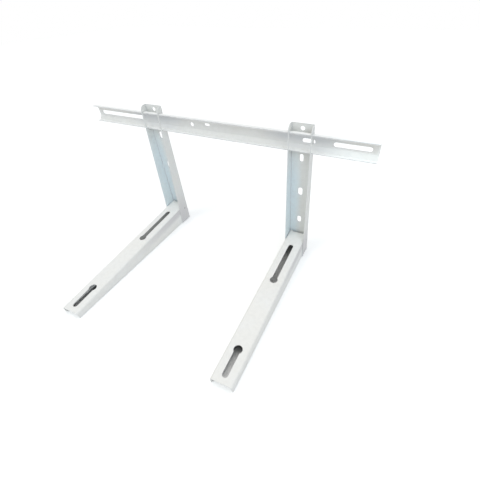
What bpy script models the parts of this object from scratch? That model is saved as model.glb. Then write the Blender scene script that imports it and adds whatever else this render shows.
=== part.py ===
"""Wall bracket for an air conditioner outdoor unit, folded from painted steel sheet.

A long crossbar passes through windows in the flanges of two upright channels. A tapered
arm, an inverted channel with keyholes in its top, sits between the flanges of each
upright. Metres, +Z up, X along the crossbar and +Y towards the wall. The origin is on the
level of the uprights' lowest edge, under the middle of the crossbar and halfway between
the wall and the tips of the arms.
"""

import math

import bmesh
import bpy
from mathutils import Matrix, Vector

# Sheet and fits
SHEET = 0.002
INNER_BEND = 0.001
FIT_GAP = 0.0003
WINDOW_CLEARANCE = 0.0005
CUT_MARGIN = 0.004
WEB_SKIN = 0.0001
BEND_STEPS = 6
ROUND_STEPS = 16

# Crossbar: a channel that is open to the front, with sloping walls and level lips
BAR_LENGTH = 0.800
BAR_HEIGHT = 0.0448
BAR_DEPTH = 0.0179
BAR_WEB_HEIGHT = 0.0208
BAR_LIP = 0.0100
BAR_SLOT_HEIGHT = 0.0110
BAR_END_MARGIN = 0.0140
LEFT_SLOT_LENGTH = 0.1560
RIGHT_SLOT_LENGTH = 0.0826
SHORT_SLOT_LENGTH = 0.0300
SLOT_BRIDGE = 0.0410
BAR_HOLE_DIAMETER = 0.0105
BAR_HOLE_FROM_MIDDLE = -0.0682
SMALL_SLOT_LENGTH = 0.0150
SMALL_SLOT_HEIGHT = 0.0070
SMALL_SLOT_FROM_MIDDLE = -0.0210
SMALL_SLOT_RISE = 0.0047

# Uprights: channels that are open to the front and deepen towards the foot
UPRIGHT_WIDTH = 0.0550
UPRIGHT_DROP = 0.3440
HEAD_ABOVE_BAR = 0.0164
HEAD_CORNER_RADIUS = 0.0120
FLANGE_STRIP = 0.0032
FLANGE_FOOT_DEPTH = 0.0420
UPRIGHT_SPACING = 0.4183
UPRIGHTS_FROM_MIDDLE = 0.0221
HEAD_HOLE_DIAMETER = 0.0105
HEAD_HOLE_ABOVE_BAR = 0.0046
BOLT_SLOT_LENGTH = 0.0460
BOLT_SLOT_HEIGHT = 0.0120
UPPER_SLOT_LENGTH = 0.0200
UPPER_SLOT_WIDTH = 0.0090
UPPER_SLOT_DROP = 0.0470
MIDDLE_SLOT_LENGTH = 0.0230
MIDDLE_SLOT_WIDTH = 0.0114
MIDDLE_SLOT_DROP = 0.1440
LOWER_SLOT_LENGTH = 0.0205
LOWER_SLOT_WIDTH = 0.0105
LOWER_SLOT_DROP = 0.2370

# Arms: inverted channels that taper towards the tip
ARM_REACH = 0.4610
ARM_DROP = 0.2845
ARM_TIP_DEPTH = 0.0176
ARM_INNER_BEND = 0.0035
ARM_WALL_GAP = 0.0018
REAR_NOTCH_WIDTH = 0.0320
REAR_NOTCH_DEPTH = 0.0032
KEYHOLE_ROUND_DIAMETER = 0.0195
KEYHOLE_SLOT_WIDTH = 0.0130
FRONT_KEYHOLE_FROM_TIP = 0.0126
FRONT_KEYHOLE_LENGTH = 0.0711
REAR_KEYHOLE_FROM_WALL = 0.0605
REAR_KEYHOLE_LENGTH = 0.1403

# Spot welds that join the flanges of an upright and its arm
WELD_DIAMETER = 0.0045
WELD_DEPTH = 0.0006
WELD_FROM_WALL = 0.0148
WELD_BELOW_ARM_TOP = 0.0123

# Paint
PAINT_COLOUR = (0.84, 0.85, 0.85, 1.0)
PAINT_ROUGHNESS = 0.35
PAINT_METALLIC = 0.0

# Places that follow from the sizes
WALL_Y = ARM_REACH / 2.0
BAR_Z = UPRIGHT_DROP
BAR_BACK_Y = WALL_Y - SHEET - FIT_GAP
WINDOW_FRONT = SHEET + FIT_GAP + BAR_DEPTH + WINDOW_CLEARANCE
FLANGE_BAR_DEPTH = WINDOW_FRONT + FLANGE_STRIP
HEAD_TOP = BAR_HEIGHT / 2.0 + HEAD_ABOVE_BAR
ARM_WIDTH = UPRIGHT_WIDTH - 2.0 * (SHEET + FIT_GAP)
ARM_TOP_Z = UPRIGHT_DROP - ARM_DROP
ARM_LENGTH = ARM_REACH - SHEET - ARM_WALL_GAP

# Planes that a flat outline is drawn in: its own x and y axes, then its thickness
ALONG_X = Matrix(((0, 0, 1), (1, 0, 0), (0, 1, 0)))
ALONG_Y = Matrix(((1, 0, 0), (0, 0, -1), (0, 1, 0)))
ALONG_Z = Matrix.Identity(3)


def clear_scene():
    """Remove whatever the file holds before the model is made."""
    for item in list(bpy.data.objects):
        bpy.data.objects.remove(item)


def new_collection(name):
    """A collection of the scene for the parts or for the cutters."""
    collection = bpy.data.collections.new(name)
    bpy.context.scene.collection.children.link(collection)
    return collection


def arc(centre, radius, start, end, steps):
    """Points along a round stretch, with angles in radians."""
    points = []
    for step in range(steps + 1):
        angle = start + (end - start) * step / steps
        points.append(centre + radius * Vector((math.cos(angle), math.sin(angle))))
    return points


def rounded_corner(before, corner, after, radius, steps):
    """Points of the arc that rounds one corner of a line."""
    back = (before - corner).normalized()
    ahead = (after - corner).normalized()
    half_angle = back.angle(ahead) / 2.0
    centre = corner + (back + ahead).normalized() * radius / math.sin(half_angle)
    run = radius / math.tan(half_angle)
    first = corner + back * run - centre
    last = corner + ahead * run - centre
    start = math.atan2(first.y, first.x)
    turn = math.atan2(first.cross(last), first.dot(last))
    return arc(centre, radius, start, start + turn, steps)


def folded_line(corners, radius):
    """The line of a folded sheet, with every inner corner bent to the radius."""
    line = [corners[0]]
    for before, corner, after in zip(corners, corners[1:], corners[2:]):
        line.extend(rounded_corner(before, corner, after, radius, BEND_STEPS))
    line.append(corners[-1])
    return line


def oblong(length, width, upright=False):
    """Outline of a slot with round ends, centred on its own origin."""
    radius = width / 2.0
    run = length / 2.0 - radius
    points = arc(Vector((run, 0.0)), radius, -math.pi / 2, math.pi / 2, ROUND_STEPS)
    points += arc(Vector((-run, 0.0)), radius, math.pi / 2, math.pi * 1.5, ROUND_STEPS)
    if upright:
        points = [Vector((-point.y, point.x)) for point in points]
    return points


def circle(diameter):
    """Outline of a round hole, centred on its own origin."""
    return arc(Vector((0.0, 0.0)), diameter / 2.0, 0.0, math.tau, 2 * ROUND_STEPS)[:-1]


def keyhole(length, direction):
    """Outline of a keyhole whose slot end is at the origin and whose round head lies
    along Y in the given direction."""
    slot_radius = KEYHOLE_SLOT_WIDTH / 2.0
    head_radius = KEYHOLE_ROUND_DIAMETER / 2.0
    head = Vector((0.0, length - head_radius))
    opening = math.asin(slot_radius / head_radius)
    low = math.pi * 1.5
    points = arc(Vector((0.0, slot_radius)), slot_radius, math.pi, math.tau, ROUND_STEPS)
    points += arc(head, head_radius, low + opening, low + math.tau - opening, 2 * ROUND_STEPS)
    if direction < 0:
        points = [Vector((-point.x, -point.y)) for point in points]
    return points


def moved(outline, x, y):
    """An outline shifted in its own plane."""
    return [point + Vector((x, y)) for point in outline]


def curve_mesh(name, outlines, thickness, closed):
    """Mesh of a flat curve given a thickness: solid plates if closed, else a ribbon."""
    curve = bpy.data.curves.new(name, "CURVE")
    curve.dimensions = "2D"
    curve.fill_mode = "BOTH" if closed else "NONE"
    curve.extrude = thickness / 2.0
    for outline in outlines:
        spline = curve.splines.new("POLY")
        spline.points.add(len(outline) - 1)
        for target, point in zip(spline.points, outline):
            target.co = (point.x, point.y, 0.0, 1.0)
        spline.use_cyclic_u = closed
    drawing = bpy.data.objects.new(name, curve)
    bpy.context.scene.collection.objects.link(drawing)
    bpy.context.view_layer.update()
    evaluated = drawing.evaluated_get(bpy.context.evaluated_depsgraph_get())
    mesh = bpy.data.meshes.new_from_object(evaluated)
    bpy.data.objects.remove(drawing)
    welded = bmesh.new()
    welded.from_mesh(mesh)
    bmesh.ops.remove_doubles(welded, verts=welded.verts, dist=0.000001)
    bmesh.ops.recalc_face_normals(welded, faces=welded.faces)
    welded.to_mesh(mesh)
    welded.free()
    return mesh


def placed(name, mesh, plane, location, collection):
    """An object with its outline's plane turned into place."""
    item = bpy.data.objects.new(name, mesh)
    item.matrix_world = Matrix.Translation(location) @ plane.to_4x4()
    collection.objects.link(item)
    return item


def cutter(name, outlines, thickness, plane, location):
    """One or more plates with the given outlines that cut or trim a part."""
    mesh = curve_mesh(name, outlines, thickness, True)
    item = placed(name, mesh, plane, location, CUTTERS)
    item.hide_render = True
    item.display_type = "WIRE"
    return item


def folded_sheet(name, corners, inner_bend, length, plane, location):
    """A channel folded from sheet: its outer line, thickened inwards, along a length."""
    line = folded_line(corners, inner_bend + SHEET)
    mesh = curve_mesh(name, [line], length, False)
    item = placed(name, mesh, plane, location, PARTS)
    thicken = item.modifiers.new("sheet", "SOLIDIFY")
    thicken.thickness = SHEET
    thicken.offset = -1.0
    thicken.use_even_offset = True
    thicken.use_quality_normals = True
    item.data.materials.append(paint(name))
    return item


def trim(item, profile):
    """Keep only what lies inside the profile."""
    change = item.modifiers.new(profile.name, "BOOLEAN")
    change.operation = "INTERSECT"
    change.solver = "EXACT"
    change.object = profile


def cut(item, opening):
    """Cut an opening through a part."""
    change = item.modifiers.new(opening.name, "BOOLEAN")
    change.operation = "DIFFERENCE"
    change.solver = "EXACT"
    change.object = opening


def paint(name):
    """White powder paint, a material of its own for each part."""
    material = bpy.data.materials.new(name)
    material.use_nodes = True
    surface = material.node_tree.nodes["Principled BSDF"]
    surface.inputs["Base Color"].default_value = PAINT_COLOUR
    surface.inputs["Roughness"].default_value = PAINT_ROUGHNESS
    surface.inputs["Metallic"].default_value = PAINT_METALLIC
    material.diffuse_color = PAINT_COLOUR
    return material


def bar_section(clearance, back):
    """Outer corners of the crossbar's section, grown by a clearance, as (y, z) points
    from the upper lip's edge round the back to the lower lip's edge."""
    front = BAR_DEPTH + clearance
    fold = BAR_DEPTH - BAR_LIP
    half = BAR_HEIGHT / 2.0 + clearance
    half_web = BAR_WEB_HEIGHT / 2.0 + clearance
    return [
        Vector((-front, half)),
        Vector((-fold, half)),
        Vector((back, half_web)),
        Vector((back, -half_web)),
        Vector((-fold, -half)),
        Vector((-front, -half)),
    ]


def make_crossbar():
    """The long bar that joins the two uprights."""
    place = Vector((0.0, BAR_BACK_Y, BAR_Z))
    section = bar_section(0.0, 0.0)
    bar = folded_sheet("crossbar", section, INNER_BEND, BAR_LENGTH, ALONG_X, place)
    half_bar = BAR_LENGTH / 2.0
    left_slot_x = -half_bar + BAR_END_MARGIN + LEFT_SLOT_LENGTH / 2.0
    right_slot_x = half_bar - BAR_END_MARGIN - RIGHT_SLOT_LENGTH / 2.0
    right_slot_start = half_bar - BAR_END_MARGIN - RIGHT_SLOT_LENGTH
    short_slot_x = right_slot_start - SLOT_BRIDGE - SHORT_SLOT_LENGTH / 2.0
    small_slot = oblong(SMALL_SLOT_LENGTH, SMALL_SLOT_HEIGHT)
    openings = [
        moved(oblong(LEFT_SLOT_LENGTH, BAR_SLOT_HEIGHT), left_slot_x, 0.0),
        moved(oblong(RIGHT_SLOT_LENGTH, BAR_SLOT_HEIGHT), right_slot_x, 0.0),
        moved(oblong(SHORT_SLOT_LENGTH, BAR_SLOT_HEIGHT), short_slot_x, 0.0),
        moved(small_slot, SMALL_SLOT_FROM_MIDDLE, SMALL_SLOT_RISE),
        moved(circle(BAR_HOLE_DIAMETER), BAR_HOLE_FROM_MIDDLE, 0.0),
    ]
    cut(bar, cutter("crossbar_openings", openings, 2.0 * CUT_MARGIN, ALONG_Y, place))
    return bar


def upright_profile():
    """Side outline of an upright, as (y, z) from the wall and the crossbar's middle:
    a straight foot, flanges that deepen downwards and a rounded head."""
    taper = (FLANGE_FOOT_DEPTH - FLANGE_BAR_DEPTH) / UPRIGHT_DROP
    head_depth = FLANGE_BAR_DEPTH - taper * HEAD_TOP
    foot_rise = foot_slope() * FLANGE_FOOT_DEPTH
    head_front = Vector((-head_depth, HEAD_TOP))
    head_back = Vector((0.0, HEAD_TOP))
    foot_front = Vector((-FLANGE_FOOT_DEPTH, foot_rise - UPRIGHT_DROP))
    foot_back = Vector((CUT_MARGIN, -foot_slope() * CUT_MARGIN - UPRIGHT_DROP))
    outline = [Vector((CUT_MARGIN, HEAD_TOP))]
    outline += rounded_corner(head_back, head_front, foot_front, HEAD_CORNER_RADIUS, ROUND_STEPS)
    outline += [foot_front, foot_back]
    return outline


def foot_slope():
    """Rise of the arms' lower edge for each metre away from the wall."""
    return (ARM_TOP_Z - ARM_TIP_DEPTH) / ARM_REACH


def make_upright(side, x):
    """One upright channel with its wall holes and the windows for the crossbar."""
    half = UPRIGHT_WIDTH / 2.0
    deepest = FLANGE_FOOT_DEPTH + CUT_MARGIN
    corners = [
        Vector((-half, -deepest)),
        Vector((-half, 0.0)),
        Vector((half, 0.0)),
        Vector((half, -deepest)),
    ]
    length = HEAD_TOP + UPRIGHT_DROP + 2.0 * CUT_MARGIN
    middle = Vector((x, WALL_Y, BAR_Z + (HEAD_TOP - UPRIGHT_DROP) / 2.0))
    name = side + "_upright"
    upright = folded_sheet(name, corners, INNER_BEND, length, ALONG_Z, middle)
    across = UPRIGHT_WIDTH + 2.0 * CUT_MARGIN
    level = Vector((x, WALL_Y, BAR_Z))
    trim(upright, cutter(name + "_profile", [upright_profile()], across, ALONG_X, level))
    window = bar_section(WINDOW_CLEARANCE, FIT_GAP - WEB_SKIN)
    window_place = Vector((x, BAR_BACK_Y, BAR_Z))
    cut(upright, cutter(name + "_window", [window], across, ALONG_X, window_place))
    head_hole_height = BAR_HEIGHT / 2.0 + HEAD_HOLE_ABOVE_BAR
    openings = [
        moved(circle(HEAD_HOLE_DIAMETER), 0.0, head_hole_height),
        oblong(BOLT_SLOT_LENGTH, BOLT_SLOT_HEIGHT),
        moved(oblong(UPPER_SLOT_LENGTH, UPPER_SLOT_WIDTH, True), 0.0, -UPPER_SLOT_DROP),
        moved(oblong(MIDDLE_SLOT_LENGTH, MIDDLE_SLOT_WIDTH, True), 0.0, -MIDDLE_SLOT_DROP),
        moved(oblong(LOWER_SLOT_LENGTH, LOWER_SLOT_WIDTH, True), 0.0, -LOWER_SLOT_DROP),
    ]
    cut(upright, cutter(name + "_openings", openings, 2.0 * CUT_MARGIN, ALONG_Y, level))
    press_weld_marks(upright, x)
    return upright


def press_weld_marks(upright, x):
    """Shallow round marks of the welding tongs on both outer faces of an upright."""
    mark = moved(circle(WELD_DIAMETER), WALL_Y - WELD_FROM_WALL, ARM_TOP_Z - WELD_BELOW_ARM_TOP)
    reach = CUT_MARGIN + WELD_DEPTH
    for face, sign in (("left", -1.0), ("right", 1.0)):
        middle_x = x + sign * (UPRIGHT_WIDTH / 2.0 - WELD_DEPTH + reach / 2.0)
        name = upright.name + "_" + face + "_weld"
        cut(upright, cutter(name, [mark], reach, ALONG_X, Vector((middle_x, 0.0, 0.0))))


def make_arm(side, x):
    """One arm that carries the unit, nested between the flanges of its upright."""
    half = ARM_WIDTH / 2.0
    deepest = ARM_TOP_Z + CUT_MARGIN
    corners = [
        Vector((-half, -deepest)),
        Vector((-half, 0.0)),
        Vector((half, 0.0)),
        Vector((half, -deepest)),
    ]
    name = side + "_arm"
    back_y = WALL_Y - SHEET - ARM_WALL_GAP
    middle = Vector((x, back_y - ARM_LENGTH / 2.0, ARM_TOP_Z))
    arm = folded_sheet(name, corners, ARM_INNER_BEND, ARM_LENGTH, ALONG_Y, middle)
    slope = foot_slope()
    near = Vector((CUT_MARGIN, -slope * CUT_MARGIN))
    far = Vector((-ARM_REACH - CUT_MARGIN, slope * (ARM_REACH + CUT_MARGIN)))
    top = ARM_TOP_Z + CUT_MARGIN
    profile = [near, Vector((CUT_MARGIN, top)), Vector((far.x, top)), far]
    across = UPRIGHT_WIDTH + 2.0 * CUT_MARGIN
    trim(arm, cutter(name + "_profile", [profile], across, ALONG_X, Vector((x, WALL_Y, 0.0))))
    front_end = FRONT_KEYHOLE_FROM_TIP - WALL_Y
    rear_end = WALL_Y - REAR_KEYHOLE_FROM_WALL
    openings = [
        moved(keyhole(FRONT_KEYHOLE_LENGTH, 1), 0.0, front_end),
        moved(keyhole(REAR_KEYHOLE_LENGTH, -1), 0.0, rear_end),
        rear_notch(back_y),
    ]
    level = Vector((x, 0.0, ARM_TOP_Z))
    cut(arm, cutter(name + "_openings", openings, 2.0 * CUT_MARGIN, ALONG_Z, level))
    return arm


def rear_notch(back_y):
    """Outline that sets the rear edge of an arm's top back between its two folds."""
    half = REAR_NOTCH_WIDTH / 2.0
    return [
        Vector((-half, back_y - REAR_NOTCH_DEPTH)),
        Vector((half, back_y - REAR_NOTCH_DEPTH)),
        Vector((half, back_y + CUT_MARGIN)),
        Vector((-half, back_y + CUT_MARGIN)),
    ]


clear_scene()
PARTS = new_collection("outdoor_unit_bracket")
CUTTERS = new_collection("cutters")

make_crossbar()
for side, sign in (("left", -1.0), ("right", 1.0)):
    centre_x = UPRIGHTS_FROM_MIDDLE + sign * UPRIGHT_SPACING / 2.0
    make_upright(side, centre_x)
    make_arm(side, centre_x)
bpy.context.view_layer.update()
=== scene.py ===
"""Looks of a wall bracket set for an air conditioner outdoor unit.

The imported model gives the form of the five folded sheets. This file gives each of them
rounded rims and white powder paint, and sets a plain studio stage with the camera. It is
laid out as an add-on and runs as a script.
"""

import math

import bmesh
import bpy
from mathutils import Euler, Matrix, Vector


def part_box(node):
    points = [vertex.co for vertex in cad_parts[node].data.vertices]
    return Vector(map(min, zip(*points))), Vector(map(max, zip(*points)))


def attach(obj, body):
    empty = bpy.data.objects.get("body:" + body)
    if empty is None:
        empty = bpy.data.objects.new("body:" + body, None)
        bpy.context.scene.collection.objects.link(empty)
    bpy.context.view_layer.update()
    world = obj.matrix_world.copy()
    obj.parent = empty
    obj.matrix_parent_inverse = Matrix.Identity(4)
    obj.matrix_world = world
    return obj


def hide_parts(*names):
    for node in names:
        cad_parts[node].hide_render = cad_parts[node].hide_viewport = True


bl_info = {
    "name": "Outdoor Unit Bracket",
    "version": (1, 0, 0),
    "blender": (4, 5, 0),
    "location": "View3D > Sidebar > Bracket",
    "description": "Finishes a folded steel wall bracket in white powder paint on a studio stage",
    "category": "Object",
}

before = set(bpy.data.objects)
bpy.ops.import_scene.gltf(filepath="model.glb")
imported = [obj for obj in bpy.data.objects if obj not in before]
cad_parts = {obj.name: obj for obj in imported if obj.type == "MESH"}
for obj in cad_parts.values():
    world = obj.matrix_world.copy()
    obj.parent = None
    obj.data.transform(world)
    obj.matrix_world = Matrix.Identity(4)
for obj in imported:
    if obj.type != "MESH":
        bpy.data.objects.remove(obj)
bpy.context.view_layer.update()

BODY = "root"
SIDES = ("left", "right")

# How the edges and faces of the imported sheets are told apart, in metres and square metres
MERGE_DISTANCE = 0.00001
FLAT_ANGLE = math.radians(0.5)
RIM_ANGLE = math.radians(50)
SMOOTH_ANGLE = math.radians(40)
RIM_SEGMENTS = 3
THINNEST_RIM_FACE = 0.0004
WIDEST_RIM_FACE = 0.0022
WIDEST_FOLD_FACE = 0.0012
WELD_SIDES = 20
LARGEST_WELD = 0.000025
NARROWEST_LIP = 0.003
WIDEST_LIP = 0.012
LEVEL_NORMAL = 0.9

# Attributes of the meshes that the paint reads
RIM_ATTRIBUTE = "rim"
FOLD_ATTRIBUTE = "fold"
WELD_ATTRIBUTE = "weld"
LIP_ATTRIBUTE = "lip"
ACROSS_ATTRIBUTE = "across"

# The finer grain of the orange peel, beside the broad one
FINE_GRAIN_SCALE = 3.7
FINE_GRAIN_SHARE = 0.25

# Size of the drift in the tone of each kind of sheet
CROSSBAR_DRIFT = 0.11
UPRIGHT_DRIFT = 0.07
ARM_DRIFT = 0.09

# Noise values between which a pattern goes from nothing to all
DRIFT_NOISE = (0.32, 0.68)
MOTTLE_NOISE = (0.40, 0.66)
RIM_NOISE = (0.30, 0.62)
FOLD_NOISE = (0.15, 0.55)
LIP_NOISE = (0.0, 0.3)
WELD_NOISE = (0.05, 0.35)

# Edge of a speck, as the distance from its middle in cells of the pattern
SPECK_EDGE = (0.03, 0.07)

# The whole of a share, from nothing to one
ALL = (0.0, 1.0)

# Painted cool light from the right inside the uprights: across the sheet from -1 to 1, and heights
# and depths
RECESS_INSIDE = (-0.99, -0.95)
RECESS_ACROSS = (-0.5, 0.25)
RECESS_HEIGHT = (0.22, 0.37)
RECESS_DEPTH = (0.2288, 0.2298)

# Painted shade around the joints of uprights and arms: the joint's place, where across the sheet
# the outer faces begin, and the height over which the shade sets in
JOINT_PLACE = (0.0, 0.20, 0.03)
JOINT_OUTSIDE = (0.95, 0.99)
JOINT_FADE = (0.0, 0.017)

# Painted shade on the crossbar beside the uprights: distance from the middle of one, and heights on
# the web
PASS_REACH = (0.035, 0.125)
PASS_FOOT = (0.324, 0.328)
PASS_RISE = (0.334, 0.350)
PASS_TOP = (0.356, 0.358)
PASS_BASE = 0.7

# The floor, and how near the bracket has to be above it for the floor's painted shade
FLOOR_SIZE = 12.0
FLOOR_GAP = 0.0002
COVER_DISTANCE = 0.06
COVER_RANGE = (0.10, 0.35)

# Broad lamps: the name of their settings, how wide they look in degrees, and where they stand
LAMPS = (
    ("top", 70.0, (-0.05, 0.10, 1.00)),
    ("key", 30.0, (-0.40, -0.50, 0.80)),
    ("fill", 30.0, (0.60, -0.50, 0.60)),
)

# The lamp at the crossbar's right end: its aim, cone in degrees, softness and stand
END_INSET = 0.015
END_CONE = 9.0
END_BLEND = 1.0
END_SOFTNESS = 0.03
END_WAY = (0.3, -0.7, 1.2)

SENSOR_WIDTH = 36.0
CLIP_START = 0.01


def length_property(name, description, default):
    """A length that the panel shows in metres."""
    return bpy.props.FloatProperty(
        name=name, description=description, default=default, subtype="DISTANCE", precision=5
    )


def share_property(name, description, default, top=1.0):
    """A plain value between nothing and the top of its range."""
    return bpy.props.FloatProperty(
        name=name, description=description, default=default, min=0.0, max=top
    )


def colour_property(name, description, default):
    """A paint or light colour."""
    return bpy.props.FloatVectorProperty(
        name=name, description=description, default=default, size=3, subtype="COLOR", min=0.0
    )


class BracketFinish(bpy.types.PropertyGroup):
    """Sizes and colours of the powder paint."""

    rim_width: length_property("Rim width", "Width of the rounded sheet rims", 0.0004)
    crossbar: colour_property("Crossbar paint", "Paint of the crossbar", (0.862, 0.864, 0.850))
    uprights: colour_property("Upright paint", "Paint of the uprights", (0.830, 0.842, 0.830))
    # The recess colour is painted bluish light that falls from the right into the uprights.
    recess: colour_property("Recess paint", "Thin paint in the uprights", (0.81, 0.895, 0.93))
    arms: colour_property("Arm paint", "Paint of the arms", (0.920, 0.918, 0.902))
    warmth: colour_property("Warmth", "Change of colour where paint is thick", (1.005, 0.99, 0.968))
    paint_rim: colour_property("Rim paint", "Thin paint on the cut rims", (0.72, 0.73, 0.74))
    # The fold colour is painted shade in the inner folds.
    fold_shade_colour: colour_property("Fold paint", "Paint in the inner folds", (0.62, 0.64, 0.66))
    # The joint colour is painted shade around the joints of uprights and arms.
    joint_shade_colour: colour_property("Joint paint", "Thin paint around the joints", (0.69, 0.675, 0.68))
    # The pass colour is painted shade on the crossbar's web beside the uprights.
    pass_shade_colour: colour_property("Pass paint", "Thin paint beside the uprights", (0.71, 0.725, 0.74))
    # The lip colour is painted light on the crossbar's lips that face up.
    lip_light_colour: colour_property("Lip paint", "Thick paint on the lips", (0.95, 0.95, 0.94))
    # The weld colour is painted shade in the shallow weld dimples.
    weld_shade_colour: colour_property("Weld paint", "Paint over the weld marks", (0.18, 0.18, 0.18))
    mottle: colour_property("Mottle", "Small scuffs in the paint", (0.70, 0.69, 0.67))
    mottle_share: share_property("Mottle share", "How much the scuffs show", 0.15)
    speck: colour_property("Speck", "Small specks in the paint", (0.66, 0.66, 0.65))
    roughness_low: share_property("Smooth paint", "Roughness where the paint ran well", 0.30)
    roughness_high: share_property("Dull paint", "Roughness where the paint is dull", 0.42)
    grain_size: length_property("Grain size", "Size of the paint's orange peel", 0.0016)
    grain_depth: length_property("Grain depth", "Depth of the paint's orange peel", 0.000018)


class BracketStage(bpy.types.PropertyGroup):
    """Sizes and colours of the floor, the lights and the camera."""

    floor_seen: share_property("Floor seen", "Brightness of the floor to the camera", 1.25, 3.0)
    # Floor covered is painted shade on the floor under the arms.
    floor_painted_shade: share_property("Floor covered", "Brightness of the floor under the arms", 0.1)
    floor_bounce: share_property("Floor bounce", "Brightness of the floor to the object", 0.90)
    sky: colour_property("Sky light", "Colour of the light from all round", (0.97, 0.99, 1.0))
    sky_level: share_property("Sky level", "Strength of the light from all round", 0.453)
    top: colour_property("Top light", "Colour of the broad light above", (1.0, 0.987, 0.966))
    top_level: share_property("Top level", "Strength of the top light", 0.756, 10.0)
    key: colour_property("Key light", "Colour of the light from the upper left", (0.99, 1.0, 0.963))
    key_level: share_property("Key level", "Strength of the key light", 0.538, 10.0)
    fill: colour_property("Fill light", "Light from the upper right", (0.78, 0.902, 1.0))
    fill_level: share_property("Fill level", "Strength of the fill light", 0.652, 10.0)
    end: colour_property("End light", "Colour of the light at the right end", (0.76, 0.92, 1.0))
    end_power: share_property("End power", "Power of the light at the right end", 21.0, 1000.0)
    lens: bpy.props.FloatProperty(
        name="Lens", description="Focal length in millimetres", default=23.374, min=1.0
    )
    camera_place: bpy.props.FloatVectorProperty(
        name="Camera place",
        description="Where the camera stands",
        default=(0.42807, -0.40809, 0.67690),
        size=3,
        subtype="TRANSLATION",
    )
    camera_turn: bpy.props.FloatVectorProperty(
        name="Camera turn",
        description="Which way the camera faces",
        default=(math.radians(48.231), math.radians(4.012), math.radians(25.209)),
        size=3,
        subtype="EULER",
    )
    camera_shift: bpy.props.FloatVectorProperty(
        name="Camera shift",
        description="Shift of the picture, as a share of its width",
        default=(-0.02356, -0.02900),
        size=2,
    )


def math_node(group, operation, first, second):
    """A Math node of two values, each a socket or a number."""
    node = group.nodes.new("ShaderNodeMath")
    node.operation = operation
    for socket, value in zip(node.inputs, (first, second)):
        if isinstance(value, (int, float)):
            socket.default_value = value
        else:
            group.links.new(value, socket)
    return node.outputs[0]


def product(group, *values):
    """The product of several values."""
    total = values[0]
    for value in values[1:]:
        total = math_node(group, "MULTIPLY", total, value)
    return total


def without_sign(group, value):
    """A value without its sign."""
    return math_node(group, "ABSOLUTE", value, 0.0)


def spread(group, value, limits):
    """Stretch a value so that the low limit becomes nothing and the high one becomes one."""
    node = group.nodes.new("ShaderNodeMapRange")
    node.interpolation_type = "SMOOTHSTEP"
    node.inputs["From Min"].default_value, node.inputs["From Max"].default_value = limits
    group.links.new(value, node.inputs["Value"])
    return node.outputs["Result"]


def fade(group, value, limits):
    """Stretch a value so that the low limit becomes one and the high one becomes nothing."""
    return math_node(group, "SUBTRACT", 1.0, spread(group, value, limits))


def object_place(group):
    """The object coordinates."""
    return group.nodes.new("ShaderNodeTexCoord").outputs["Object"]


def place_parts(group):
    """The object coordinates X, Y and Z, each by itself."""
    node = group.nodes.new("ShaderNodeSeparateXYZ")
    group.links.new(object_place(group), node.inputs["Vector"])
    return node.outputs


def vector_node(group, operation, first, second):
    """A Vector Math node of a socket and a plain vector."""
    node = group.nodes.new("ShaderNodeVectorMath")
    node.operation = operation
    group.links.new(first, node.inputs[0])
    node.inputs[1].default_value = second
    return node.outputs


def noted(group, attribute):
    """The value that a mesh keeps in an attribute."""
    node = group.nodes.new("ShaderNodeAttribute")
    node.attribute_name = attribute
    return node.outputs["Fac"]


def pattern_scale(group, entry):
    """The scale of a pattern whose features are as large as the group's Size."""
    return math_node(group, "DIVIDE", 1.0, entry["Size"])


def noise(group, scale, detail, roughness=0.5):
    """A Noise texture on object coordinates."""
    node = group.nodes.new("ShaderNodeTexNoise")
    node.inputs["Detail"].default_value = detail
    node.inputs["Roughness"].default_value = roughness
    group.links.new(object_place(group), node.inputs["Vector"])
    group.links.new(scale, node.inputs["Scale"])
    return node.outputs["Fac"]


def orange_peel(group, entry):
    """Low bumps of powder paint, with a finer grain on them."""
    scale = pattern_scale(group, entry)
    fine = noise(group, product(group, scale, FINE_GRAIN_SCALE), 2.0)
    return math_node(group, "ADD", noise(group, scale, 1.0), product(group, fine, FINE_GRAIN_SHARE))


def drift(group, entry):
    """Broad, faint changes in how thick the paint lies."""
    return spread(group, noise(group, pattern_scale(group, entry), 3.0, 0.55), DRIFT_NOISE)


def mottle(group, entry):
    """Small scuffs and clouds all over the paint."""
    clouds = noise(group, pattern_scale(group, entry), 4.0, 0.6)
    return product(group, spread(group, clouds, MOTTLE_NOISE), entry["Share"])


def specks(group, entry):
    """Rare small specks, one in a few cells of a cell pattern."""
    cells = group.nodes.new("ShaderNodeTexVoronoi")
    group.links.new(object_place(group), cells.inputs["Vector"])
    group.links.new(pattern_scale(group, entry), cells.inputs["Scale"])
    pick = group.nodes.new("ShaderNodeSeparateColor")
    group.links.new(cells.outputs["Color"], pick.inputs["Color"])
    chosen = math_node(group, "LESS_THAN", pick.outputs["Red"], entry["Share"])
    return product(group, fade(group, cells.outputs["Distance"], SPECK_EDGE), chosen)


def marks(attribute, limits):
    """An effect on the faces that an attribute marks, broken up by noise."""

    def build(group, entry):
        worn = spread(group, noise(group, pattern_scale(group, entry), 3.0), limits)
        return product(group, noted(group, attribute), worn, entry["Share"])

    return build


def recess(group, entry):
    """Painted cool light from the right on the inside of an upright towards its left flange and its
    foot.
    """
    across = noted(group, ACROSS_ATTRIBUTE)
    place = place_parts(group)
    return product(
        group,
        entry["Share"],
        fade(group, across, RECESS_ACROSS),
        fade(group, place["Z"], RECESS_HEIGHT),
        fade(group, place["Y"], RECESS_DEPTH),
        spread(group, across, RECESS_INSIDE),
    )


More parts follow.
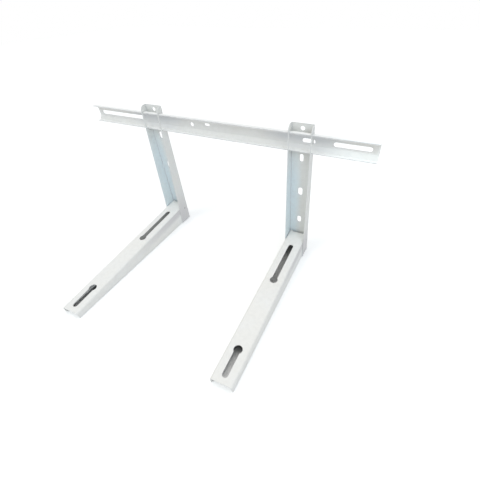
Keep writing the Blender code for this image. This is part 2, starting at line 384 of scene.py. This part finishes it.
def joint(group, entry):
    """Painted shade on the outer faces above a height, as far as Size from the joint of upright and
    arm.
    """
    aside = without_sign(group, noted(group, ACROSS_ATTRIBUTE))
    flat = vector_node(group, "MULTIPLY", object_place(group), (0.0, 1.0, 1.0))["Vector"]
    away = vector_node(group, "DISTANCE", flat, JOINT_PLACE)["Value"]
    reached = math_node(group, "DIVIDE", away, entry["Size"])
    above = math_node(group, "SUBTRACT", place_parts(group)["Z"], entry["Low"])
    return product(
        group,
        fade(group, reached, ALL),
        spread(group, aside, JOINT_OUTSIDE),
        spread(group, above, JOINT_FADE),
        entry["Share"],
    )


def beside_uprights(group, entry):
    """Painted shade on the web of the crossbar where it passes the uprights, most of all its upper
    half.
    """
    left, right = (sum(corner.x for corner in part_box(side + "_upright")) / 2.0 for side in SIDES)
    place = place_parts(group)
    along = math_node(group, "SUBTRACT", place["X"], (left + right) / 2.0)
    past = math_node(group, "SUBTRACT", without_sign(group, along), (right - left) / 2.0)
    near = fade(group, without_sign(group, past), PASS_REACH)
    rise = math_node(group, "ADD", spread(group, place["Z"], PASS_RISE), PASS_BASE)
    tall = product(group, rise, 1.0 / (1.0 + PASS_BASE))
    web = math_node(group, "SUBTRACT", tall, spread(group, place["Z"], PASS_TOP))
    web = math_node(group, "MAXIMUM", web, 0.0)
    return product(group, near, web, spread(group, place["Z"], PASS_FOOT), entry["Share"])


# What builds each effect, its inputs with their usual values, and its output
EFFECTS = {
    "orange_peel": (orange_peel, {"Size": 0.0016}, "Height"),
    "paint_drift": (drift, {"Size": 0.08}, "Mask"),
    "recess_paint": (recess, {"Share": 1.0}, "Mask"),
    "joint_paint": (joint, {"Size": 0.1, "Low": 0.0, "Share": 1.0}, "Mask"),
    "pass_paint": (beside_uprights, {"Share": 1.0}, "Mask"),
    "mottle": (mottle, {"Size": 0.010, "Share": 1.0}, "Mask"),
    # Painted light on the level lips that face up
    "lip_paint": (marks(LIP_ATTRIBUTE, LIP_NOISE), {"Size": 0.020, "Share": 1.0}, "Mask"),
    "rim_paint": (marks(RIM_ATTRIBUTE, RIM_NOISE), {"Size": 0.009, "Share": 1.0}, "Mask"),
    # Painted shade in the inner folds
    "fold_paint": (marks(FOLD_ATTRIBUTE, FOLD_NOISE), {"Size": 0.014, "Share": 1.0}, "Mask"),
    # Painted shade in the weld dimples
    "weld_paint": (marks(WELD_ATTRIBUTE, WELD_NOISE), {"Size": 0.002, "Share": 1.0}, "Mask"),
    "specks": (specks, {"Size": 0.006, "Share": 0.12}, "Mask"),
}

# The layers over a sheet's own paint, from the lowest up, and the settings of their colours;
# several of them are painted light and shade
LAYERS = {
    "recess_paint": "recess",
    "joint_paint": "joint_shade_colour",
    "pass_paint": "pass_shade_colour",
    "mottle": "mottle",
    "lip_paint": "lip_light_colour",
    "rim_paint": "paint_rim",
    "fold_paint": "fold_shade_colour",
    "weld_paint": "weld_shade_colour",
    "specks": "speck",
}

# The layers that only some sheets have, with the inputs that aren't as usual
CROSSBAR_LAYERS = {
    "pass_paint": {},
    "lip_paint": {},
    "rim_paint": {},
    "fold_paint": {"Share": 0.15},
}
UPRIGHT_LAYERS = {
    "recess_paint": {},
    "joint_paint": {"Size": 0.11, "Low": -0.1},
    "rim_paint": {"Share": 0.5},
    "fold_paint": {},
}
ARM_LAYERS = {
    "joint_paint": {"Size": 0.27, "Low": 0.028},
    "rim_paint": {"Share": 0.5},
    "fold_paint": {"Share": 0.5},
}


def effect_group(name):
    """An effect's shader node group with its named sockets and its nodes."""
    build, inputs, output = EFFECTS[name]
    group = bpy.data.node_groups.new(name, "ShaderNodeTree")
    for label, value in inputs.items():
        socket = group.interface.new_socket(label, in_out="INPUT", socket_type="NodeSocketFloat")
        socket.default_value = value
    group.interface.new_socket(output, in_out="OUTPUT", socket_type="NodeSocketFloat")
    entry = group.nodes.new("NodeGroupInput").outputs
    leave = group.nodes.new("NodeGroupOutput").inputs
    group.links.new(build(group, entry), leave[output])
    return group


def effect(tree, name, **values):
    """Place an effect's group in a material, made once, with its own values."""
    node = tree.nodes.new("ShaderNodeGroup")
    node.node_tree = bpy.data.node_groups.get(name) or effect_group(name)
    for label, value in values.items():
        node.inputs[label].default_value = value
    return node.outputs[0]


def mixed_colour(tree, mask, first, second):
    """Mix two colours by a mask; either may be a socket or a plain colour."""
    node = tree.nodes.new("ShaderNodeMix")
    node.data_type = "RGBA"
    tree.links.new(mask, node.inputs["Factor"])
    for socket, value in zip((node.inputs[6], node.inputs[7]), (first, second)):
        if isinstance(value, bpy.types.NodeSocket):
            tree.links.new(value, socket)
        else:
            socket.default_value = (*value, 1.0)
    return node.outputs[2]


def powder_paint(name, finish, paint, drift_size, own_layers):
    """White powder paint whose tone drifts, with orange peel and a sheet's layers, some of them
    painted light and shade.
    """
    material = bpy.data.materials.new(name)
    material.use_nodes = True
    tree = material.node_tree
    surface = tree.nodes["Principled BSDF"]
    layers = {"mottle": {"Share": finish.mottle_share}, "weld_paint": {}, "specks": {}}
    layers.update(own_layers)
    thickness = effect(tree, "paint_drift", Size=drift_size)
    thick = [value * share for value, share in zip(paint, finish.warmth)]
    colour = mixed_colour(tree, thickness, paint, thick)
    for layer, setting in LAYERS.items():
        if layer in layers:
            mask = effect(tree, layer, **layers[layer])
            colour = mixed_colour(tree, mask, colour, getattr(finish, setting))
    tree.links.new(colour, surface.inputs["Base Color"])
    roughness = tree.nodes.new("ShaderNodeMapRange")
    roughness.inputs["To Min"].default_value = finish.roughness_low
    roughness.inputs["To Max"].default_value = finish.roughness_high
    tree.links.new(thickness, roughness.inputs["Value"])
    tree.links.new(roughness.outputs["Result"], surface.inputs["Roughness"])
    bump = tree.nodes.new("ShaderNodeBump")
    bump.inputs["Distance"].default_value = finish.grain_depth
    tree.links.new(effect(tree, "orange_peel", Size=finish.grain_size), bump.inputs["Height"])
    tree.links.new(bump.outputs["Normal"], surface.inputs["Normal"])
    return material


def longest_edge(face):
    """The longest edge of a face."""
    return max(face.edges, key=lambda edge: edge.calc_length())


def face_width(face):
    """Width of a face that is a strip, from its area and its longest side."""
    return face.calc_area() / longest_edge(face).calc_length()


def is_rim(edge):
    """Whether an edge is a cut rim of the sheet, wide enough on both sides to round."""
    if not edge.is_manifold or edge.calc_face_angle() < RIM_ANGLE:
        return False
    return all(face_width(face) >= THINNEST_RIM_FACE for face in edge.link_faces)


def is_inner_fold(face):
    """Whether a face is one of the narrow strips that make up an inner fold."""
    if face_width(face) > WIDEST_FOLD_FACE:
        return False
    longest = longest_edge(face)
    return longest.is_manifold and -RIM_ANGLE < longest.calc_face_angle_signed() < -FLAT_ANGLE


def is_flat_rim(face):
    """Whether a face is a cut rim of the sheet, as wide as the sheet is thick."""
    return face_width(face) < WIDEST_RIM_FACE and is_rim(longest_edge(face))


def is_weld(face):
    """Whether a face is the round bottom of a weld mark."""
    return len(face.verts) > WELD_SIDES and face.calc_area() < LARGEST_WELD


def is_lip(face):
    """Whether a face is a level strip that faces up, as the crossbar's lips are."""
    return NARROWEST_LIP < face_width(face) < WIDEST_LIP and face.normal.z > LEVEL_NORMAL


FACE_KINDS = {
    RIM_ATTRIBUTE: is_flat_rim,
    FOLD_ATTRIBUTE: is_inner_fold,
    WELD_ATTRIBUTE: is_weld,
    LIP_ATTRIBUTE: is_lip,
}


def note_faces(shape):
    """Note rims, inner folds, weld marks and lips on the faces, for the paint."""
    for name, belongs in FACE_KINDS.items():
        layer = shape.faces.layers.float.new(name)
        for face in [face for face in shape.faces if belongs(face)]:
            face[layer] = 1.0


def note_places(shape):
    """Note on the points how far each lies from the left to the right, from -1 to 1."""
    layer = shape.verts.layers.float.new(ACROSS_ATTRIBUTE)
    places = [point.co.x for point in shape.verts]
    middle = (max(places) + min(places)) / 2.0
    half = (max(places) - min(places)) / 2.0
    for point in shape.verts:
        point[layer] = (point.co.x - middle) / half


def finished_sheet(node, finish, material):
    """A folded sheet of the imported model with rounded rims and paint."""
    mesh = bpy.data.meshes.new("painted_" + node)
    shape = bmesh.new()
    shape.from_mesh(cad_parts[node].data)
    bmesh.ops.remove_doubles(shape, verts=shape.verts, dist=MERGE_DISTANCE)
    bmesh.ops.dissolve_limit(
        shape, angle_limit=FLAT_ANGLE, verts=shape.verts, edges=shape.edges
    )
    note_faces(shape)
    rim_layer = shape.faces.layers.float[RIM_ATTRIBUTE]
    rounded = bmesh.ops.bevel(
        shape,
        geom=[edge for edge in shape.edges if is_rim(edge)],
        offset=finish.rim_width,
        offset_type="OFFSET",
        affect="EDGES",
        segments=RIM_SEGMENTS,
        profile=0.5,
        material=-1,
    )
    for face in shape.faces:
        face.smooth = True
    for face in rounded["faces"]:
        face[rim_layer] = 1.0
    note_places(shape)
    shape.to_mesh(mesh)
    shape.free()
    mesh.set_sharp_from_angle(angle=SMOOTH_ANGLE)
    mesh.materials.clear()
    mesh.materials.append(material)
    piece = bpy.data.objects.new("painted_" + node, mesh)
    bpy.context.scene.collection.objects.link(piece)
    flats = piece.modifiers.new("flat faces", "WEIGHTED_NORMAL")
    flats.keep_sharp = True
    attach(piece, BODY)
    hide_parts(node)


class BRACKET_OT_crossbar(bpy.types.Operator):
    """Finish the crossbar that joins the two uprights"""

    bl_idname = "bracket.crossbar"
    bl_label = "Crossbar"

    def execute(self, context):
        finish = context.scene.bracket_finish
        drift_size = CROSSBAR_DRIFT
        paint = powder_paint("crossbar_paint", finish, finish.crossbar, drift_size, CROSSBAR_LAYERS)
        finished_sheet("crossbar", finish, paint)
        return {"FINISHED"}


class BRACKET_OT_uprights(bpy.types.Operator):
    """Finish the two upright channels that stand against the wall"""

    bl_idname = "bracket.uprights"
    bl_label = "Uprights"

    def execute(self, context):
        finish = context.scene.bracket_finish
        drift_size = UPRIGHT_DRIFT
        paint = powder_paint("upright_paint", finish, finish.uprights, drift_size, UPRIGHT_LAYERS)
        for side in SIDES:
            finished_sheet(side + "_upright", finish, paint)
        return {"FINISHED"}


class BRACKET_OT_arms(bpy.types.Operator):
    """Finish the two tapered arms that carry the unit"""

    bl_idname = "bracket.arms"
    bl_label = "Arms"

    def execute(self, context):
        finish = context.scene.bracket_finish
        paint = powder_paint("arm_paint", finish, finish.arms, ARM_DRIFT, ARM_LAYERS)
        for side in SIDES:
            finished_sheet(side + "_arm", finish, paint)
        return {"FINISHED"}


def foot_plane():
    """Place and lean of the plane that the uprights' feet and the arms' rims lie on."""
    upright_low, upright_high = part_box("left_upright")
    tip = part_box("left_arm")[0].y
    tip_height = min(
        point.co.z
        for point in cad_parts["left_arm"].data.vertices
        if point.co.y < tip + MERGE_DISTANCE
    )
    run = upright_high.y - tip
    rise = tip_height - upright_low.z
    return upright_high.y, upright_low.z, math.atan2(rise, run)


def light_path_share(tree, names):
    """One for the kinds of ray named, and nothing for all others."""
    path = tree.nodes.new("ShaderNodeLightPath")
    total = path.outputs[names[0]]
    for name in names[1:]:
        total = math_node(tree, "MAXIMUM", total, path.outputs[name])
    return total


def floor_paint(stage):
    """Paint of the floor: bright to the camera, with painted shade where the bracket covers it."""
    material = bpy.data.materials.new("studio_floor")
    material.use_nodes = True
    tree = material.node_tree
    tree.nodes.remove(tree.nodes["Principled BSDF"])
    surface = tree.nodes.new("ShaderNodeBsdfDiffuse")
    seen = light_path_share(tree, ["Is Camera Ray"])
    # Painted shade: the floor turns dark to the camera where the bracket is close above it
    cover = tree.nodes.new("ShaderNodeAmbientOcclusion")
    cover.inputs["Distance"].default_value = COVER_DISTANCE
    free = spread(tree, cover.outputs["AO"], COVER_RANGE)
    shown = mixed_colour(tree, free, (stage.floor_painted_shade,) * 3, (stage.floor_seen,) * 3)
    colour = mixed_colour(tree, seen, (stage.floor_bounce,) * 3, shown)
    tree.links.new(colour, surface.inputs["Color"])
    tree.links.new(surface.outputs["BSDF"], tree.nodes["Material Output"].inputs["Surface"])
    return material


def make_floor(stage):
    """A wide pale floor that the feet of the uprights and the rims of the arms lie on."""
    wall_y, foot_z, lean = foot_plane()
    mesh = bpy.data.meshes.new("floor")
    shape = bmesh.new()
    bmesh.ops.create_grid(shape, x_segments=1, y_segments=1, size=FLOOR_SIZE / 2.0)
    turn = Matrix.Rotation(-lean, 4, "X")
    place = Matrix.Translation((0.0, wall_y, foot_z - FLOOR_GAP))
    shape.transform(place @ turn)
    shape.to_mesh(mesh)
    shape.free()
    mesh.materials.append(floor_paint(stage))
    floor = bpy.data.objects.new("floor", mesh)
    bpy.context.scene.collection.objects.link(floor)


def make_sky(stage):
    """Even light from all round, and a white background to the camera."""
    world = bpy.data.worlds.new("studio")
    bpy.context.scene.world = world
    world.use_nodes = True
    tree = world.node_tree
    light = tree.nodes["Background"]
    light.inputs["Color"].default_value = (*stage.sky, 1.0)
    light.inputs["Strength"].default_value = stage.sky_level
    white = tree.nodes.new("ShaderNodeBackground")
    white.inputs["Color"].default_value = (1.0, 1.0, 1.0, 1.0)
    white.inputs["Strength"].default_value = 1.0
    choice = tree.nodes.new("ShaderNodeMixShader")
    seen = light_path_share(tree, ["Is Camera Ray", "Is Glossy Ray", "Is Transmission Ray"])
    tree.links.new(seen, choice.inputs[0])
    tree.links.new(light.outputs[0], choice.inputs[1])
    tree.links.new(white.outputs[0], choice.inputs[2])
    tree.links.new(choice.outputs[0], tree.nodes["World Output"].inputs["Surface"])


def hang_lamp(lamp, direction):
    """Put a lamp in the scene so that it shines from a direction."""
    item = bpy.data.objects.new(lamp.name, lamp)
    item.rotation_euler = Vector(direction).to_track_quat("Z", "Y").to_euler()
    bpy.context.scene.collection.objects.link(item)
    return item


def make_lamp(name, colour, level, angle, direction):
    """A broad, distant studio lamp that shines from a direction."""
    lamp = bpy.data.lights.new(name, "SUN")
    lamp.color = colour
    lamp.energy = level
    lamp.angle = math.radians(angle)
    hang_lamp(lamp, direction)


def make_end_lamp(stage):
    """A soft light that brightens the right end of the crossbar."""
    low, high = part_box("crossbar")
    aim = Vector((high.x - END_INSET, high.y, (low.z + high.z) / 2.0))
    lamp = bpy.data.lights.new("end_lamp", "SPOT")
    lamp.color = stage.end
    lamp.energy = stage.end_power
    lamp.spot_size = math.radians(END_CONE)
    lamp.spot_blend = END_BLEND
    lamp.shadow_soft_size = END_SOFTNESS
    hang_lamp(lamp, END_WAY).location = aim + Vector(END_WAY)


def make_camera(stage):
    """The camera at the photograph's angle."""
    data = bpy.data.cameras.new("camera")
    data.sensor_width = SENSOR_WIDTH
    data.lens = stage.lens
    data.shift_x, data.shift_y = stage.camera_shift
    data.clip_start = CLIP_START
    camera = bpy.data.objects.new("camera", data)
    camera.location = stage.camera_place
    camera.rotation_euler = Euler(stage.camera_turn, "XYZ")
    bpy.context.scene.collection.objects.link(camera)
    bpy.context.scene.camera = camera


class BRACKET_OT_stage(bpy.types.Operator):
    """Set the floor, the studio light and the camera"""

    bl_idname = "bracket.stage"
    bl_label = "Stage"

    def execute(self, context):
        stage = context.scene.bracket_stage
        context.scene.view_settings.view_transform = "Standard"
        make_floor(stage)
        make_sky(stage)
        for name, angle, direction in LAMPS:
            colour, level = getattr(stage, name), getattr(stage, name + "_level")
            make_lamp(name + "_lamp", colour, level, angle, direction)
        make_end_lamp(stage)
        make_camera(stage)
        return {"FINISHED"}


class BRACKET_PT_panel(bpy.types.Panel):
    """Lists the steps that finish the bracket and set its stage"""

    bl_idname = "BRACKET_PT_panel"
    bl_label = "Outdoor Unit Bracket"
    bl_space_type = "VIEW_3D"
    bl_region_type = "UI"
    bl_category = "Bracket"

    def draw(self, context):
        for step in STEPS:
            self.layout.operator(step.bl_idname)
        for settings in (context.scene.bracket_finish, context.scene.bracket_stage):
            box = self.layout.box()
            for name in settings.__annotations__:
                box.prop(settings, name)


STEPS = (BRACKET_OT_crossbar, BRACKET_OT_uprights, BRACKET_OT_arms, BRACKET_OT_stage)
CLASSES = (BracketFinish, BracketStage, *STEPS, BRACKET_PT_panel)


def register():
    """Register the classes and their settings."""
    for item in CLASSES:
        bpy.utils.register_class(item)
    bpy.types.Scene.bracket_finish = bpy.props.PointerProperty(type=BracketFinish)
    bpy.types.Scene.bracket_stage = bpy.props.PointerProperty(type=BracketStage)


def unregister():
    """Take the classes and their settings away."""
    del bpy.types.Scene.bracket_stage
    del bpy.types.Scene.bracket_finish
    for item in reversed(CLASSES):
        bpy.utils.unregister_class(item)


def main():
    """Make everything in order."""
    register()
    bpy.ops.bracket.crossbar()
    bpy.ops.bracket.uprights()
    bpy.ops.bracket.arms()
    bpy.ops.bracket.stage()


if __name__ == "__main__":
    main()
